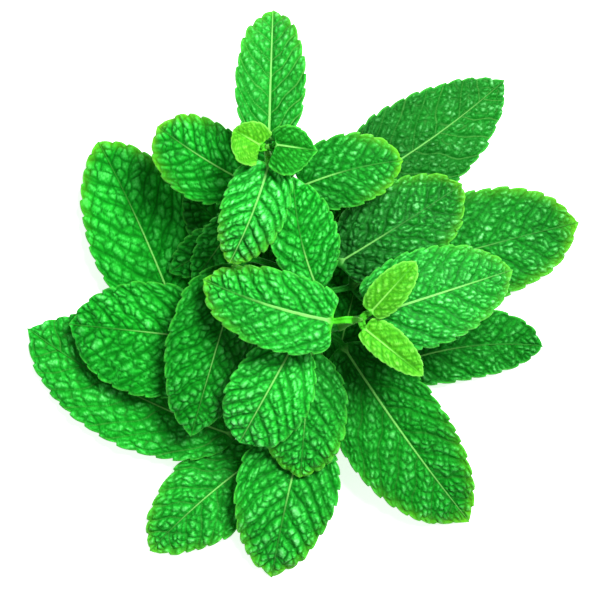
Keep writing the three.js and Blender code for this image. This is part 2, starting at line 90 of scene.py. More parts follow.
leaves = {
    # lowest layer, which the sprig rests on
    "leaf_west_low": dict(
        on="shoot_south", joint=1, base=[-18, -38.5, 5.5], tip=[-74.5, -9.5, 0.1], width=32.4, arch=2.5,
        sweep=-2.6, skew=0.12, fold=5, curl=1.2, rise=0.55, taper=0.65,
        veins=7, crinkle=0.95, cellSize=2.7,
        toneAndPaintedLight=1.1, paintedGlintAndShine=0.5, paleVeins=0.3, ribReach=0.45, footDarkAndPaintedShade=0.1),
    "leaf_upper_left": dict(
        on="shoot_west", joint=2, base=[-35.5, -2, 6], tip=[-55.5, 41, 0.1], width=31, arch=3,
        sweep=0.9, skew=0.02, rise=0.34,
        quilt=0.6, cell=0.7, crinkle=0.65, cellSize=2.9,
        toneAndPaintedLight=1.15, paintedGlintAndShine=0.2, gold=0.5, ribReach=0.55),
    "leaf_south_west": dict(
        on="shoot_south", joint=1, base=[-11, -43.5, 3.2], tip=[-41.5, -70, 0.2], width=24, arch=2,
        sweep=1.2, skew=-0.03, fold=6, curl=1, taper=0.7,
        crinkle=1.15, cellSize=2.2,
        toneAndPaintedLight=1.15, paintedGlintAndShine=0.7, gold=0.45, paleVeins=0.25, ribReach=0.7, footDarkAndPaintedShade=0.45),
    "leaf_south": dict(
        on="shoot_south", joint=1, base=[0, -38, 9], tip=[-8.5, -77, 0.1], width=28, arch=4.5,
        sweep=0.5, skew=0.05, roll=-5, curl=1, rise=0.37, taper=0.66,
        slant=0.9, quilt=0.7, cell=0.65, crinkle=1.2, cellSize=2.3,
        toneAndPaintedLight=1.2, paintedGlintAndShine=0.75, gold=0.6, ribReach=0.5, ribWide=1.2, footDarkAndPaintedShade=0.25),
    "leaf_east_low": dict(
        on="stem_main", joint=1, base=[19.5, -21.5, 4.5], tip=[65, -14.5, 0.2], width=20, arch=2.5,
        sweep=-3.2, skew=-0.09, curl=1.2, taper=0.55,
        crinkle=1.15,
        toneAndPaintedLight=0.6, paintedGlintAndShine=0.5, ribReach=0.5, footDarkAndPaintedShade=0.4),
    "leaf_east": dict(
        on="stem_main", joint=3, base=[12.5, 1.5, 9], tip=[74.5, 19, 0.1], width=30.3, arch=4,
        sweep=-0.7, skew=-0.03, fold=6, curl=2, taper=0.48,
        veins=7, crinkle=1.25,
        toneAndPaintedLight=0.66, paintedGlintAndShine=0.7, gold=0.6, footDarkAndPaintedShade=0.2),
    "leaf_upper_right": dict(
        on="stem_main", joint=6, base=[12.5, 27.5, 14], tip=[54.5, 57.5, 0.1], width=27.8, arch=3,
        sweep=1.5, rise=0.37, taper=0.68,
        quilt=0.5, cell=0.95, crinkle=1.15,
        toneAndPaintedLight=0.54, paintedGlintAndShine=0.7, paleVeins=0.6, ribReach=0.9, footDarkAndPaintedShade=0.75, footReach=0.75),
    "leaf_south_east": dict(
        on="shoot_east", joint=1, base=[10.5, -14, 12], tip=[45, -62, 0.1], width=29.5, arch=5,
        sweep=0.8, skew=0.12, fold=12, curl=2,
        veins=7, crinkle=1.1,
        toneAndPaintedLight=0.72, gold=0.6, paleVeins=0.15, ribReach=1.0, ribWide=1.3, footDarkAndPaintedShade=0.45),
    # under leaves in the middle, darkened with painted shade
    "leaf_under_north": dict(
        on="stem_main", joint=3, base=[-6, 4.5, 9.5], tip=[-32, 27, 7.4], width=19, arch=1.5,
        fold=6, curl=1,
        toneAndPaintedLight=0.5, paintedGlintAndShine=0),
    "leaf_under_east": dict(
        on="stem_main", joint=1, base=[8.5, -20.5, 2.7], tip=[17, 13, 2.2], width=27, arch=0.8,
        fold=2, curl=0.4,
        toneAndPaintedLight=0.5, paintedGlintAndShine=0),
    "leaf_under_mid": dict(
        on="stem_main", joint=4, base=[3.5, 13, 12.5], tip=[14.5, 27, 10.2], width=12, arch=1,
        fold=6, curl=1,
        toneAndPaintedLight=0.6, paintedGlintAndShine=0),
    "leaf_under_top": dict(
        on="stem_main", joint=6, base=[-5, 29, 19.5], tip=[-11.5, 43.5, 14.5], width=13.5, arch=1,
        fold=6, curl=1,
        toneAndPaintedLight=0.6, paintedGlintAndShine=0),
    "leaf_left_under": dict(
        on="stem_main", joint=5, base=[-17.5, 15.5, 14], tip=[-36, 5.5, 8.8], width=12.5, arch=2,
        curl=1, taper=0.7,
        veins=5, toothPitch=3.2,
        toneAndPaintedLight=0.8, paintedGlintAndShine=0.2, footDarkAndPaintedShade=0.7),
    "leaf_left_mid": dict(
        on="stem_main", joint=6, base=[-16, 21, 19.5], tip=[-29.5, 2.5, 12], width=12, arch=2,
        curl=1, taper=0.7,
        veins=5, toothPitch=3.2,
        toneAndPaintedLight=1.1, paintedGlintAndShine=0.3, footDarkAndPaintedShade=0.5),
    # middle layer
    "leaf_west": dict(
        on="shoot_west", joint=1, base=[-21, -13, 11.5], tip=[-63, -8.5, 6], width=31, arch=3,
        sweep=0.2, skew=-0.12, fold=5, curl=1.2,
        quilt=0.55, crinkle=0.95, cellSize=2.6,
        toneAndPaintedLight=1.1, paintedGlintAndShine=0.35, footDarkAndPaintedShade=0.25),
    "leaf_left_inner": dict(
        on="stem_main", joint=4, base=[-16.5, 7, 21], tip=[-30, -38.5, 15], width=26.5, arch=3,
        fold=-10, roll=-20, rise=0.42,
        cellSize=2.3,
        toneAndPaintedLight=0.8, paintedGlintAndShine=0.3, ribReach=0.7, footDarkAndPaintedShade=0.5),
    "leaf_right_inner": dict(
        on="stem_main", joint=4, base=[9.5, 8, 15.5], tip=[42.5, 29, 14.5], width=26, arch=3,
        sweep=0.3, skew=0.06, roll=-5, curl=2, rise=0.38, taper=0.55,
        cell=0.95, crinkle=1.25,
        toneAndPaintedLight=0.68, paintedGlintAndShine=0.9, gold=0.5, ribReach=0.4, footDarkAndPaintedShade=0.85, footReach=0.7),
    "leaf_low_inner": dict(
        on="shoot_east", joint=2, base=[2, -15.5, 17], tip=[-0.8, -49.5, 12], width=22.5, arch=4,
        curl=2, taper=0.5,
        crinkle=1.1, cellSize=2.0,
        toneAndPaintedLight=1.2, paintedGlintAndShine=0.75, gold=0.45, footDarkAndPaintedShade=0.4),
    "leaf_mid_left": dict(
        on="shoot_east", joint=3, base=[-1.5, -12, 23], tip=[-17, -40, 17], width=22.5, arch=5,
        skew=-0.07, curl=2, taper=0.42,
        quilt=0.7, cell=0.6, crinkle=1.05, cellSize=2.1,
        toneAndPaintedLight=1.5, paintedGlintAndShine=0.85, ribReach=1.0, ribWide=1.2, footDarkAndPaintedShade=0.05),
    "leaf_mid_up": dict(
        on="shoot_east", joint=2, base=[4, 0.5, 20.5], tip=[-2.5, 30.5, 31], width=18, arch=2.5,
        sweep=-1.6, skew=0.12, fold=6, curl=1.2,
        bend=0.05, quilt=0.55, cell=0.6, cellSize=2.1,
        toneAndPaintedLight=1.3, paintedGlintAndShine=0.65, ribReach=0.4, footDarkAndPaintedShade=0.3),
    # top layer round the north tip
    "leaf_a_left": dict(
        on="stem_main", joint=7, base=[-14, 28.5, 29], tip=[-38.7, 44.2, 20], width=21.5, arch=3,
        sweep=-0.8, skew=-0.05, taper=0.52,
        slant=0.7, bend=0.045, quilt=0.6, cell=0.6, crinkle=0.8, cellSize=2.3,
        toneAndPaintedLight=1.3, paintedGlintAndShine=0.35, gold=0.9, ribReach=0.7, footDarkAndPaintedShade=0.3),
    "leaf_a_right": dict(
        on="stem_main", joint=7, base=[-0.5, 28, 26.5], tip=[26.5, 35, 20.5], width=19.5, arch=3.5,
        sweep=-1, curl=2, rise=0.36, taper=0.48, lobe=1.6,
        crinkle=0.8, cellSize=2.2,
        toneAndPaintedLight=0.74, paintedGlintAndShine=0.5, gold=0.7, ribReach=0.4, footDarkAndPaintedShade=0.45),
    "leaf_a_top": dict(
        on="stem_main", joint=8, base=[-9, 39.5, 40], tip=[-8, 74.5, 27], width=19.6, arch=4,
        fold=20, curl=1, rise=0.38, taper=0.54, lobe=1.2,
        veins=7, slant=0.75, bend=0.05, quilt=0.6, cell=0.6, crinkle=0.9, cellSize=2.2,
        toneAndPaintedLight=0.9, paintedGlintAndShine=0.6, gold=0.3, paleVeins=0.5, ribReach=1.3, ribWide=1.3, footDarkAndPaintedShade=0.1),
    "leaf_a_front": dict(
        on="stem_main", joint=8, base=[-9, 33.5, 41.5], tip=[-19.5, 7.5, 34], width=17.6, arch=4,
        sweep=-0.9, fold=12, rise=0.36, taper=0.55, lobe=1.8,
        veins=7, slant=0.5, bend=0.06, quilt=0.85, cell=0.5, crinkle=1.2, cellSize=1.9, toothPitch=3.4,
        toneAndPaintedLight=1.65, paintedGlintAndShine=1.0, gold=0.7, stalkOutOfShade=0.5, ribReach=1.2, ribWide=1.2, footDarkAndPaintedShade=0.0),
    "leaf_a_small_left": dict(
        on="stem_main", joint=9, base=[-11.2, 38.2, 45.6], tip=[-18.2, 42.2, 46.6], width=12, arch=1.5,
        skew=-0.13, fold=10, curl=0.4, rise=0.3, taper=0.7, lobe=2,
        paintedGlintAndShine=0.5, youth=1.0, stalkOutOfShade=0.6, footDarkAndPaintedShade=0),
    "leaf_a_small_right": dict(
        on="stem_main", joint=9, base=[-7.1, 38.3, 46.2], tip=[3.9, 36.7, 45.2], width=13.6, arch=1.2,
        skew=0.16, fold=10, curl=0.4, rise=0.34, taper=0.7, lobe=1.8, point=0.14,
        quilt=0.15, cell=0.25,
        toneAndPaintedLight=0.9, paintedGlintAndShine=0.3, youth=0.05, footDarkAndPaintedShade=0),
    # top layer round the east tip
    "leaf_b_left": dict(
        on="shoot_east", joint=4, base=[7.6, -7.5, 33.2], tip=[-26.5, 3.5, 28], width=21.5, arch=4,
        sweep=-1.2, skew=-0.06, rise=0.33, taper=0.52, lobe=2.3,
        quilt=0.6, cell=0.75, crinkle=1.15, cellSize=2.0,
        toneAndPaintedLight=1.4, paintedGlintAndShine=0.85, gold=0.6, stalkOutOfShade=1.0, ribWide=1.7, footDarkAndPaintedShade=0.1),
    "leaf_b_right": dict(
        on="shoot_east", joint=4, base=[18, -6, 34], tip=[55.5, 6, 22], width=26, arch=5,
        curl=2, rise=0.36, taper=0.58, lobe=3,
        quilt=0.6, crinkle=1.2, cellSize=1.9,
        toneAndPaintedLight=1.15, paintedGlintAndShine=1.0, gold=0.35, ribReach=0.85, ribWide=1.3, footDarkAndPaintedShade=0.1),
    "leaf_b_small_up": dict(
        on="shoot_east", joint=5, base=[17.6, -5.2, 39.4], tip=[29.5, 8, 42], width=9.8, arch=1.5,
        fold=10, curl=0.5, rise=0.38, lobe=0.8,
        toneAndPaintedLight=0.95, paintedGlintAndShine=0.6, youth=0.8, footDarkAndPaintedShade=0),
    "leaf_b_small_down": dict(
        on="shoot_east", joint=5, base=[15.9, -9.4, 38.2], tip=[31.5, -22, 35.5], width=9.6, arch=2,
        skew=-0.16, fold=10, curl=0.5, rise=0.36, taper=0.65, lobe=0.9,
        paintedGlintAndShine=0.5, youth=0.8, footDarkAndPaintedShade=0),
}

# What the small young leaves share: finer veins, teeth and pebbles
leafYoung = dict(
    veins=5, bend=0.06, quilt=0.25, cell=0.28, pebble=0.09, cellSize=1.6, pebbleSize=0.7,
    toothPitch=2.3, toothDepth=0.32, toothLean=0.2, wave=0.25, waveLength=8.0,
    thickness=0.28, ribDepth=0.6, edgePale=0.8)


def unit(v):
    # each vector divided by its length
    return v / np.maximum(np.linalg.norm(v, axis=-1, keepdims=True), 1e-12)


def smooth(x, low, high):
    # 0 below low, 1 above high, and 3x^2 - 2x^3 between them
    s = np.clip((x - low) / (high - low), 0, 1)
    return s * s * (3 - 2 * s)


def blend(first, second, share):
    # each number of the first colour moved towards the second's by the share
    return tuple(a + (b - a) * share for a, b in zip(first, second))


def bezier(points, t):
    # a Bezier curve of any degree: neighbours are mixed in the share t until one point is left
    layer = [np.asarray(p, float)[None, :] + 0 * t[:, None] for p in points]
    while len(layer) > 1:
        layer = [a + (b - a) * t[:, None] for a, b in zip(layer, layer[1:])]
    return layer[0]


def catmullRom(joints, s):
    # a uniform Catmull-Rom curve through the joints at shares s of its length in joints
    p = np.asarray(joints, float)
    p = np.vstack([2 * p[0] - p[1], p, 2 * p[-1] - p[-2]])
    spans = len(joints) - 1
    place = np.clip(np.asarray(s, float), 0, 1) * spans
    i = np.minimum(place.astype(int), spans - 1)
    f = (place - i)[:, None]
    a, b, c, d = p[i], p[i + 1], p[i + 2], p[i + 3]
    return 0.5 * (2 * b + (c - a) * f + (2 * a - 5 * b + 4 * c - d) * f ** 2
                  + (3 * b - a - 3 * c + d) * f ** 3)


def crossFrames(tangent, roll):
    # the side and upward directions across a path: side is level, then both turn by roll degrees
    level = unit(np.cross(tangent, upward))
    above = np.cross(level, tangent)
    angle = np.radians(roll)[:, None]
    side = level * np.cos(angle) - above * np.sin(angle)
    normal = above * np.cos(angle) + level * np.sin(angle)
    return side, normal


def cellEdges(a, b, seed):
    # distance to the nearest border between jittered cells one unit across: half the gap between
    # the distances to the two nearest cell centres; and a number 0..1 that each cell has of its own
    jitter = np.random.default_rng(seed).uniform(*cellJitter, (*cellGrid, 2))
    shades = np.random.default_rng(seed + 1).random(cellGrid)
    i, j = np.floor(a).astype(int), np.floor(b).astype(int)
    first = np.full(a.shape, farOff)
    second = np.full(a.shape, farOff)
    shade = np.zeros(a.shape)
    for di in (-1, 0, 1):
        for dj in (-1, 0, 1):
            own = ((i + di) % cellGrid[0], (j + dj) % cellGrid[1])
            spot = jitter[own]
            d = np.hypot(i + di + spot[..., 0] - a, j + dj + spot[..., 1] - b)
            second = np.minimum(second, np.maximum(first, d))
            shade = np.where(d < first, shades[own], shade)
            first = np.minimum(first, d)
    return (second - first) / 2, shade


def ringMesh(name, rings, firstPoint, lastPoint, flat, colours):
    # a closed skin over rings of the same number of points, with an end point past each end ring
    count, around = rings.shape[:2]
    points = np.vstack([rings.reshape(-1, 3), firstPoint, lastPoint])
    # under the height tableEase, z becomes tableEase e^(z / tableEase - 1), which stays above 0
    depth = 1 - np.minimum(points[:, 2], tableEase) / tableEase
    points[:, 2] = np.where(depth > 0, tableEase * np.exp(-depth), points[:, 2])
    i, j = np.meshgrid(np.arange(count - 1), np.arange(around), indexing="ij")
    k = (j + 1) % around
    quads = np.stack([i * around + j, i * around + k, (i + 1) * around + k, (i + 1) * around + j], -1)
    quads = quads.reshape(-1, 4)
    j = np.arange(around)
    k = (j + 1) % around
    low = np.stack([np.full(around, count * around), k, j], -1)
    top = (count - 1) * around
    high = np.stack([np.full(around, count * around + 1), top + j, top + k], -1)
    a, b, c, d = (points[quads[:, n]] for n in range(4))
    volume = np.einsum("ij,ij->", a, np.cross(b, c)) + np.einsum("ij,ij->", a, np.cross(c, d))
    if volume < 0:
        quads, low, high = quads[:, ::-1], low[:, ::-1], high[:, ::-1]
    mesh = bpy.data.meshes.new(name)
    mesh.from_pydata(((points + centring) * millimetre).tolist(), [],
                     quads.tolist() + low.tolist() + high.tolist())
    mesh.polygons.foreach_set("use_smooth", np.ones(len(mesh.polygons), bool))
    corner = np.empty(len(mesh.loops), np.int32)
    mesh.loops.foreach_get("vertex_index", corner)
    ends = np.vstack([flat.reshape(-1, 2), flat[0].mean(0), flat[-1].mean(0)])
    mesh.uv_layers.new(name="flat").data.foreach_set("uv", ends[corner].astype(np.float32).ravel())
    for label, values in colours.items():
        values = np.vstack([values.reshape(-1, 4), values[0].mean(0), values[-1].mean(0)])
        layer = mesh.color_attributes.new(label, "FLOAT_COLOR", "POINT")
        layer.data.foreach_set("color", values.astype(np.float32).ravel())
    mesh.update()
    piece = bpy.data.objects.new(name, mesh)
    bpy.context.scene.collection.objects.link(piece)
    return piece


def outline(leaf, t):
    # width at a share t of the blade: t to the power rise times (1 - t) to the power taper, 1 at
    # most, drawn in to a point over the last few hundredths
    widest = leaf["rise"] / (leaf["rise"] + leaf["taper"])
    full = (t / widest) ** leaf["rise"] * ((1 - t) / (1 - widest)) ** leaf["taper"]
    return full * (1 - np.exp(-(1 - t) / leaf["point"]))


# A leaf's stalk, in millimetres. Its start inside the stem and its footing are in half widths of the
# stem; endsAt is the share of the blade where its width has run out.
stalk = dict(
    half=0.8, above=0.5, below=0.85, flare=0.3, endsAt=0.25, channel=0.35, channelWide=0.42,
    inside=0.5, footing=1.3, gap=1.1, lift=0.4, insideRows=3, rows=15)


def stalkPath(leaf, ribStart, ribTangent, t):
    # a cubic Bezier that leaves the stem square to it and meets the midrib along it; it starts a
    # little inside the stem so that the two grow together
    stem = stems[leaf["on"]]
    share = leaf["joint"] / (len(stem["joints"]) - 1)
    near = catmullRom(stem["joints"], np.clip(share + np.array([-nudge, 0, nudge]), 0, 1))
    along = unit(near[2] - near[0])
    root = near[1]
    reach = ribStart - root
    away = unit(reach - along * reach.dot(along))
    half = stemUsual["tipHalf"] + (stem["half"] - stemUsual["tipHalf"]) * (1 - share ** 2)
    start = root + away * (half * stalk["footing"] + stalk["gap"]) + along * stalk["lift"]
    third = np.linalg.norm(ribStart - start) / 3
    leave = unit(away + along * stalk["lift"])
    inner = root + away * half * stalk["inside"]
    outer = bezier([start, start + leave * third, ribStart - ribTangent * third, ribStart], t)
    lead = bezier([inner, start], np.linspace(0, 1, stalk["insideRows"] + 1)[:-1])
    return np.vstack([lead, outer])


# Teeth, as shares of one tooth's length or of the margin's
teethShape = dict(
    fewest=4, knots=7, drift=0.35, smallest=0.75, spread=0.5,  # number, uneven spacing, size
    slope=0.75, swell=0.35, middle=0.55, dropFrom=0.9, hookFrom=0.6, hookTo=0.92,
    fadeFrom=0.04, fadeTo=0.22, tipFrom=0.93, tipLoss=0.6)     # none at the stalk, low at the tip


def margin(leaf, x, half, rng):
    # teeth along one margin: each rises as slope p + swell sin(pi p) over its pitch, leans forwards
    # and drops off after its point. Gives how far the margin moves forwards and outwards at each ring.
    f = teethShape
    step = np.hypot(np.diff(x), np.diff(half))
    along = np.concatenate([[0], np.cumsum(step)])
    total = along[-1]
    count = max(f["fewest"], round(total / leaf["toothPitch"]))
    knots = np.linspace(0, 1, f["knots"])
    drift = np.interp(along / total, knots, rng.uniform(-f["drift"], f["drift"], f["knots"]))
    phase = along / total * count + drift
    part = phase - np.floor(phase)
    size = f["smallest"] + f["spread"] * rng.random(count + 4)[np.floor(phase).astype(int) + 2]
    fall = 1 - smooth(part, f["dropFrom"], 1.0)
    tooth = (f["slope"] * part + f["swell"] * np.sin(np.pi * part)) * fall * size
    hook = smooth(part, f["hookFrom"], f["hookTo"]) * fall * size
    fade = smooth(along / total, f["fadeFrom"], f["fadeTo"])
    fade = fade * (1 - f["tipLoss"] * smooth(along / total, f["tipFrom"], 1.0))
    out = leaf["toothDepth"] * (tooth - f["middle"]) * fade
    forward = leaf["toothLean"] * hook * fade
    direction = unit(np.stack([np.gradient(x), np.gradient(half)], -1))
    moveX = forward * direction[:, 0] - out * direction[:, 1]
    moveY = forward * direction[:, 1] + out * direction[:, 0]
    return moveX, moveY


# The relief of a blade. Widths of pillows are in pitches of the side veins, those of cells and of
# pebbles in their own sizes, and warps are in millimetres.
reliefShape = dict(
    tipRoom=0.6, firstVein=0.45, sideShift=0.13, veinShift=0.14,   # where side veins start, in pitches
    pillowWide=0.14, pillowPower=1.1, pillowLevel=0.6,
    cellWide=0.9, cellTall=1.05, otherSide=19.0, warp=0.4, fineWarp=0.1,
    domeWide=0.2, domePower=1.4, domeLow=0.45, domeGain=0.55, domeLevel=0.5,
    pebbleWide=0.22, pebblePower=1.5, pebbleLow=0.4, pebbleGain=0.9, pebbleWarp=0.3,
    cellShare=0.65, pebbleShare=0.35)                              # in the shade that each spot has


def relief(leaf, x, y, length, rng, seed):
    # height of the blade over its smooth form. Side veins are where x - slant |y| - bend y^2 takes
    # one of a few values; pillows rise between them, cells rise inside the pillows, and pebbles on
    # the cells. Each rises as 1 - exp(-(distance / width)^power) from its border.
    f = reliefShape
    steep = leaf["slant"] + 2 * leaf["bend"] * np.abs(y)
    u = x - leaf["slant"] * np.abs(y) - leaf["bend"] * y ** 2
    nearest = np.full(x.shape, farOff)
    pitch = length / (leaf["veins"] + f["tipRoom"])
    for side in (-1, 1):
        shift = rng.uniform(-f["sideShift"], f["sideShift"])
        starts = (np.arange(-4, leaf["veins"] + 2) + f["firstVein"] + shift) * pitch
        starts = starts + rng.uniform(-f["veinShift"], f["veinShift"], len(starts)) * pitch
        here = (y * side >= 0)
        # the veins, and below the rows of cells, wander in waves a few millimetres long
        wander = 0.5 * np.sin(y * 0.7 + side) + 0.6 * np.sin(x * 0.33 + y * 0.5 + seed)
        wander = wander * smooth(np.abs(y), 1, 4)
        gap = np.abs((u + wander)[..., None] - starts) / np.sqrt(1 + steep ** 2)[..., None]
        nearest = np.where(here, gap.min(-1), nearest)
    size = leaf["cellSize"]
    bendX = f["warp"] * np.sin(x * 0.9 + y * 0.5 + seed) + f["fineWarp"] * np.sin(y * 2.3 + seed)
    bendY = f["warp"] * np.sin(y * 1.1 - x * 0.6 + seed * 2) + f["fineWarp"] * np.sin(x * 2.1 - seed)
    turn = 1 / np.hypot(1, leaf["slant"])
    forwards = (u * turn + bendX) / (size * f["cellWide"]) + f["otherSide"] * np.sign(y)
    outwards = ((leaf["slant"] * x + np.abs(y)) * turn + bendY) / (size * f["cellTall"])
    cells, shade = cellEdges(forwards, outwards, seed)
    cells = cells * size
    fine = leaf["pebbleSize"]
    warp = f["pebbleWarp"]
    pebbles, speck = cellEdges((x + warp * bendY) / fine, (y + warp * bendX) / fine, seed + 50)
    pillow = 1 - np.exp(-(nearest / (f["pillowWide"] * pitch)) ** f["pillowPower"])
    dome = 1 - np.exp(-(cells / (f["domeWide"] * size)) ** f["domePower"])
    pebble = 1 - np.exp(-(pebbles / f["pebbleWide"]) ** f["pebblePower"])
    pebble = pebble * (f["pebbleLow"] + f["pebbleGain"] * speck)
    height = leaf["quilt"] * (pillow - f["pillowLevel"])
    height = height + leaf["cell"] * (dome * (f["domeLow"] + f["domeGain"] * pillow) - f["domeLevel"])
    height = (height + leaf["pebble"] * (pebble - 0.5)) * leaf["crinkle"]
    shade = f["cellShare"] * shade + f["pebbleShare"] * speck
    return height, nearest, cells, pillow, shade, np.clip(pebble, 0, 1)


# Where a leaf's colours change: widths in millimetres, the rest as shares
# groove and crease are the widths of the painted shade, and of pale veins, in vein grooves and creases
paint = dict(
    groove=0.24, crease=0.21, cellTop=0.6, creasePower=1.5, creaseLow=0.4, creaseGain=0.6,
    midrib=0.27, midribTaper=0.6, stalk=1.2, midlineMost=4,
    ribStrong=0.92, ribLoss=0.8, ribFadeFrom=0.55, ribFadeTo=1.25,
    edge=0.4, rim=2.2, goldFrom=0.35, goldTo=0.95, goldRim=0.55, goldEdge=0.4,
    goldTip=0.4, goldTipFrom=0.88, footFrom=-0.05)


def leafColours(leaf, t, blade, body, x, across, inward, height, surface):
    # three colour layers for the upper side, x being the share of the leaf's length.
    # form: vein grooves and creases, where shade is painted, place across the midrib, cell tops, where
    # glints are painted
    # look: nearness to the margin, golden, darker foot with its painted shade, strength of the pale midrib
    # more: each cell's own shade, stalk, pebbles, and the height kept as painted light
    f = paint
    nearest, cells, pillow, shade, grain = surface
    # vein grooves and creases between cells: masks for painted shade, and for pale veins where a leaf has
    # them
    groove = np.exp(-(nearest / f["groove"]) ** 2) * body
    crease = np.exp(-(cells / f["crease"]) ** f["creasePower"]) * body
    crease = np.clip(crease * (f["creaseLow"] + f["creaseGain"] * pillow), 0, 1)
    ribWidth = f["midrib"] * leaf["ribWide"] * (1 - f["midribTaper"] * t[:, None])
    midline = across / (ribWidth + f["stalk"] * (1 - blade[:, None]))
    midline = np.clip(midline, -f["midlineMost"], f["midlineMost"])
    top = pillow * (1 - np.exp(-(cells / f["cellTop"]) ** f["creasePower"]))

    edge = np.exp(-(inward / f["edge"]) ** 2)
    rim = np.exp(-(inward / f["rim"]) ** 2)
    golden = smooth(x, f["goldFrom"], f["goldTo"]) * (f["goldRim"] * rim + f["goldEdge"] * edge)
    golden = leaf["gold"] * np.clip(golden + f["goldTip"] * smooth(x, f["goldTipFrom"], 1.0), 0, 1)
    foot = leaf["footDarkAndPaintedShade"] * (1 - smooth(x, f["footFrom"], leaf["footReach"]))
    ribFade = f["ribStrong"] - f["ribLoss"] * smooth(t / leaf["ribReach"], f["ribFadeFrom"], f["ribFadeTo"])

    onStalk = np.broadcast_to(1 - blade[:, None], edge.shape)
    # painted light: the higher the relief, the brighter the colour
    lit = np.clip(0.5 + height / (2 * leaf["cell"] * leaf["crinkle"]), 0, 1)
    form = np.stack([groove, crease, midline, top], -1)
    look = np.stack([edge, golden, foot, np.broadcast_to(ribFade[:, None], edge.shape)], -1)
    more = np.stack([shade, onStalk, grain, lit], -1)
    return form, look, more


# The skin of a leaf: millimetres, or shares of the blade's length. The widths of the trough, the
# ridge and the keel are shares of the midrib's half width, ribHalf.
leafSkin = dict(
    rowStep=0.31, columnStep=0.28, even=0.45, bunched=0.55, crowded=0.045,  # spacing of the mesh
    bladeFrom=0.05, lobeAt=0.06,                           # all blade from here, lobes longest here
    toothReach=1.5, toothPower=1.5,                        # how far in from the margin a tooth pulls
    bareHalf=0.6, fullHalf=3.0,                            # half widths where relief starts and is full
    calmLow=0.55, calmGain=0.45, calmFrom=0.1, calmTo=1.6,  # calmer relief near the margin
    ribHalf=0.85, ribTaper=0.5, troughWide=1.25, troughDeep=0.5, ridgeWide=0.42, ridgeHigh=0.3,
    waveUneven=1.13, waveFrom=2, waveTo=7,
    stalkLens=2, bladeLens=14,                             # how square the cross-section is
    underRelief=0.85, keelWide=0.9, keelLoss=0.85, keelPower=0.8, veinBelow=0.2, veinBelowWide=0.4)


